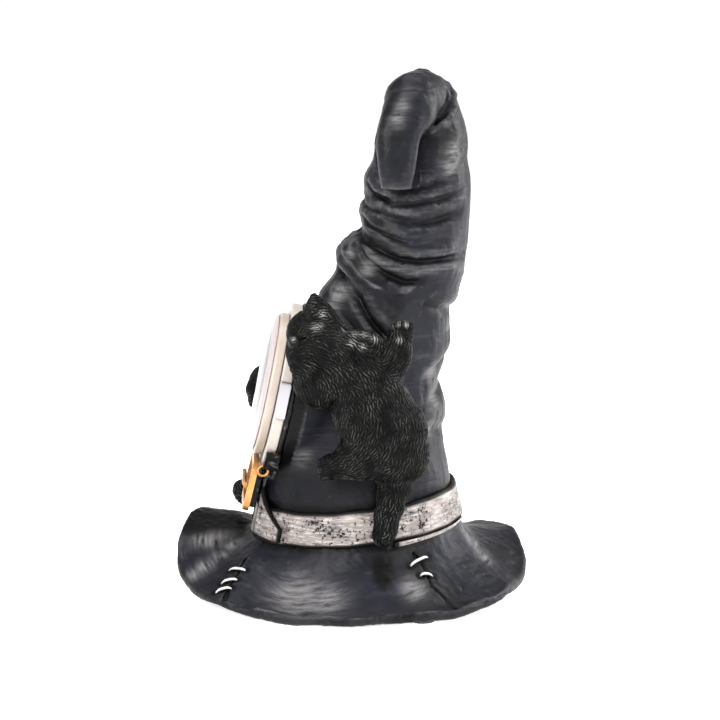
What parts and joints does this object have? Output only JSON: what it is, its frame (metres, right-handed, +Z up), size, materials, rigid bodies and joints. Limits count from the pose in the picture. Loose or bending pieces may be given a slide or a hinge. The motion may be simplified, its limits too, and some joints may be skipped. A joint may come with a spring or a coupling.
{
  "type": "witch's hat table clock",
  "caption": "Crooked witch's hat with a drooping tip, belt and buckle, carrying climbing black cats and a round push-in quartz clock with running hands and gear train.",
  "frame": {"origin": "On the table, at the middle of the footprint of the brim", "axes": "+Z up, clock faces -Y, +X is the side with the climbing cat and the drooping tip"},
  "size_m": [0.1226, 0.1374, 0.2066],
  "materials": {
    "resin": "satin charcoal paint, dry-brushed pale on the ridges",
    "fur": "satin black paint, lightly dry-brushed",
    "silver_paint": "distressed silver paint over black",
    "black_paint": "satin black paint",
    "gold_paint": "warm gold paint, worn at the edges",
    "stitch_paint": "off-white paint with dark edges",
    "cream_plastic": "smooth cream moulding",
    "tan_plastic": "smooth warm beige moulding",
    "white_plastic": "smooth cool white moulding",
    "felt": "soft dark rubber",
    "clear": "clear, glossy, faintly pink where it catches the light",
    "grey_plastic": "fine matte moulding",
    "gear_brass": "bright, fine turned",
    "gear_steel": "bright steel",
    "gear_plastic": "natural white moulding",
    "copper_wire": "lacquered copper winding",
    "board_green": "green lacquer"
  },
  "bodies": {
    "hat": {"hat_shell": "resin", "hat_belt": "silver_paint", "belt_flare_near": "silver_paint", "belt_flare_far": "silver_paint", "buckle_frame": "gold_paint", "buckle_pad": "black_paint", "buckle_prong": "gold_paint", "cat_climbing": "fur", "cat_peeking": "fur", "brim_stitch_1": "stitch_paint", "brim_stitch_2": "stitch_paint", "brim_stitch_3": "stitch_paint", "brim_stitch_4": "stitch_paint", "brim_stitch_5": "stitch_paint", "brim_stitch_6": "stitch_paint", "brim_stitch_7": "stitch_paint", "brim_stitch_8": "stitch_paint", "brim_stitch_9": "stitch_paint", "brim_stitch_10": "stitch_paint", "foot_pad_1": "felt", "foot_pad_2": "felt", "foot_pad_3": "felt", "foot_pad_4": "felt", "trim_ring": "black_paint", "strap_tab": "black_paint", "tab_ring": "gold_paint", "socket_collar": "cream_plastic", "socket_lug": "white_plastic", "socket_sleeve": "white_plastic"},
    "insert": {"clock_case": "grey_plastic", "grip_band": "felt", "clock_bezel": "tan_plastic", "clock_lens": "clear", "clock_dial": "cream_plastic", "movement_cover": "grey_plastic", "movement_box": "grey_plastic", "stator": "gear_steel", "coil": "copper_wire", "circuit_board": "board_green", "circuit_chip": "black_paint", "quartz_crystal": "gear_steel", "cell_tray": "grey_plastic", "spring_contact": "gear_brass", "side_contact": "gear_brass"},
    "cell": {"button_cell": "gear_steel"},
    "door": {"cell_door": "grey_plastic"},
    "rotor": {"rotor": "gear_steel"},
    "intermediate": {"intermediate_wheel": "gear_brass"},
    "seconds": {"second_wheel": "gear_brass", "second_hand": "gold_paint"},
    "third": {"third_wheel": "gear_brass"},
    "centre": {"centre_wheel": "gear_brass"},
    "minutes": {"cannon_pinion": "gear_brass", "minute_hand": "black_paint"},
    "motion": {"motion_wheel": "gear_plastic"},
    "hours": {"hour_wheel": "gear_plastic", "hour_hand": "black_paint"},
    "knob": {"set_knob": "grey_plastic"}
  },
  "joints": [
    {"name": "insert_pull", "type": "slide", "parent": "hat", "child": "insert", "axis": [0, -0.9781, 0.2079], "range_m": [0, 0.03]},
    {"name": "door_out", "type": "slide", "parent": "insert", "child": "door", "axis": [0, 0.9781, -0.2079], "range_m": [0, 0.014]},
    {"name": "cell_out", "type": "slide", "parent": "insert", "child": "cell", "axis": [0, 0.9781, -0.2079], "range_m": [0, 0.0105]},
    {"name": "minute_turn", "type": "hinge", "parent": "insert", "child": "minutes", "pos_m": [0, -0.02746, 0.08196], "axis": [0, 0.9781, -0.2079], "continuous": true},
    {"name": "motion_turn", "type": "hinge", "parent": "insert", "child": "motion", "pos_m": [-0.0044, -0.02628, 0.08754], "axis": [0, 0.9781, -0.2079], "continuous": true},
    {"name": "hour_turn", "type": "hinge", "parent": "insert", "child": "hours", "pos_m": [0, -0.02854, 0.08219], "axis": [0, 0.9781, -0.2079], "continuous": true},
    {"name": "knob_turn", "type": "hinge", "parent": "insert", "child": "knob", "pos_m": [0.0024, -0.02578, 0.08985], "axis": [0, 0.9781, -0.2079], "continuous": true},
    {"name": "second_turn", "type": "hinge", "parent": "insert", "child": "seconds", "pos_m": [0, -0.02433, 0.0813], "axis": [0, 0.9781, -0.2079], "continuous": true},
    {"name": "intermediate_turn", "type": "hinge", "parent": "insert", "child": "intermediate", "pos_m": [0.0066, -0.02276, 0.0839], "axis": [0, 0.9781, -0.2079], "continuous": true},
    {"name": "rotor_turn", "type": "hinge", "parent": "insert", "child": "rotor", "pos_m": [0.00801, -0.02403, 0.0779], "axis": [0, 0.9781, -0.2079], "continuous": true},
    {"name": "third_turn", "type": "hinge", "parent": "insert", "child": "third", "pos_m": [-0.00495, -0.02652, 0.0758], "axis": [0, 0.9781, -0.2079], "continuous": true},
    {"name": "centre_turn", "type": "hinge", "parent": "insert", "child": "centre", "pos_m": [0, -0.02629, 0.08171], "axis": [0, 0.9781, -0.2079], "continuous": true}
  ],
  "couplings": [
    {"joint": "cell_out", "follows": "door_out", "ratio": 0.75},
    {"joint": "motion_turn", "follows": "minute_turn", "ratio": -0.33333},
    {"joint": "hour_turn", "follows": "minute_turn", "ratio": 0.083333},
    {"joint": "knob_turn", "follows": "minute_turn", "ratio": 1},
    {"joint": "intermediate_turn", "follows": "second_turn", "ratio": -5},
    {"joint": "rotor_turn", "follows": "second_turn", "ratio": 30},
    {"joint": "third_turn", "follows": "second_turn", "ratio": -0.13333},
    {"joint": "centre_turn", "follows": "second_turn", "ratio": 0.016667}
  ]
}
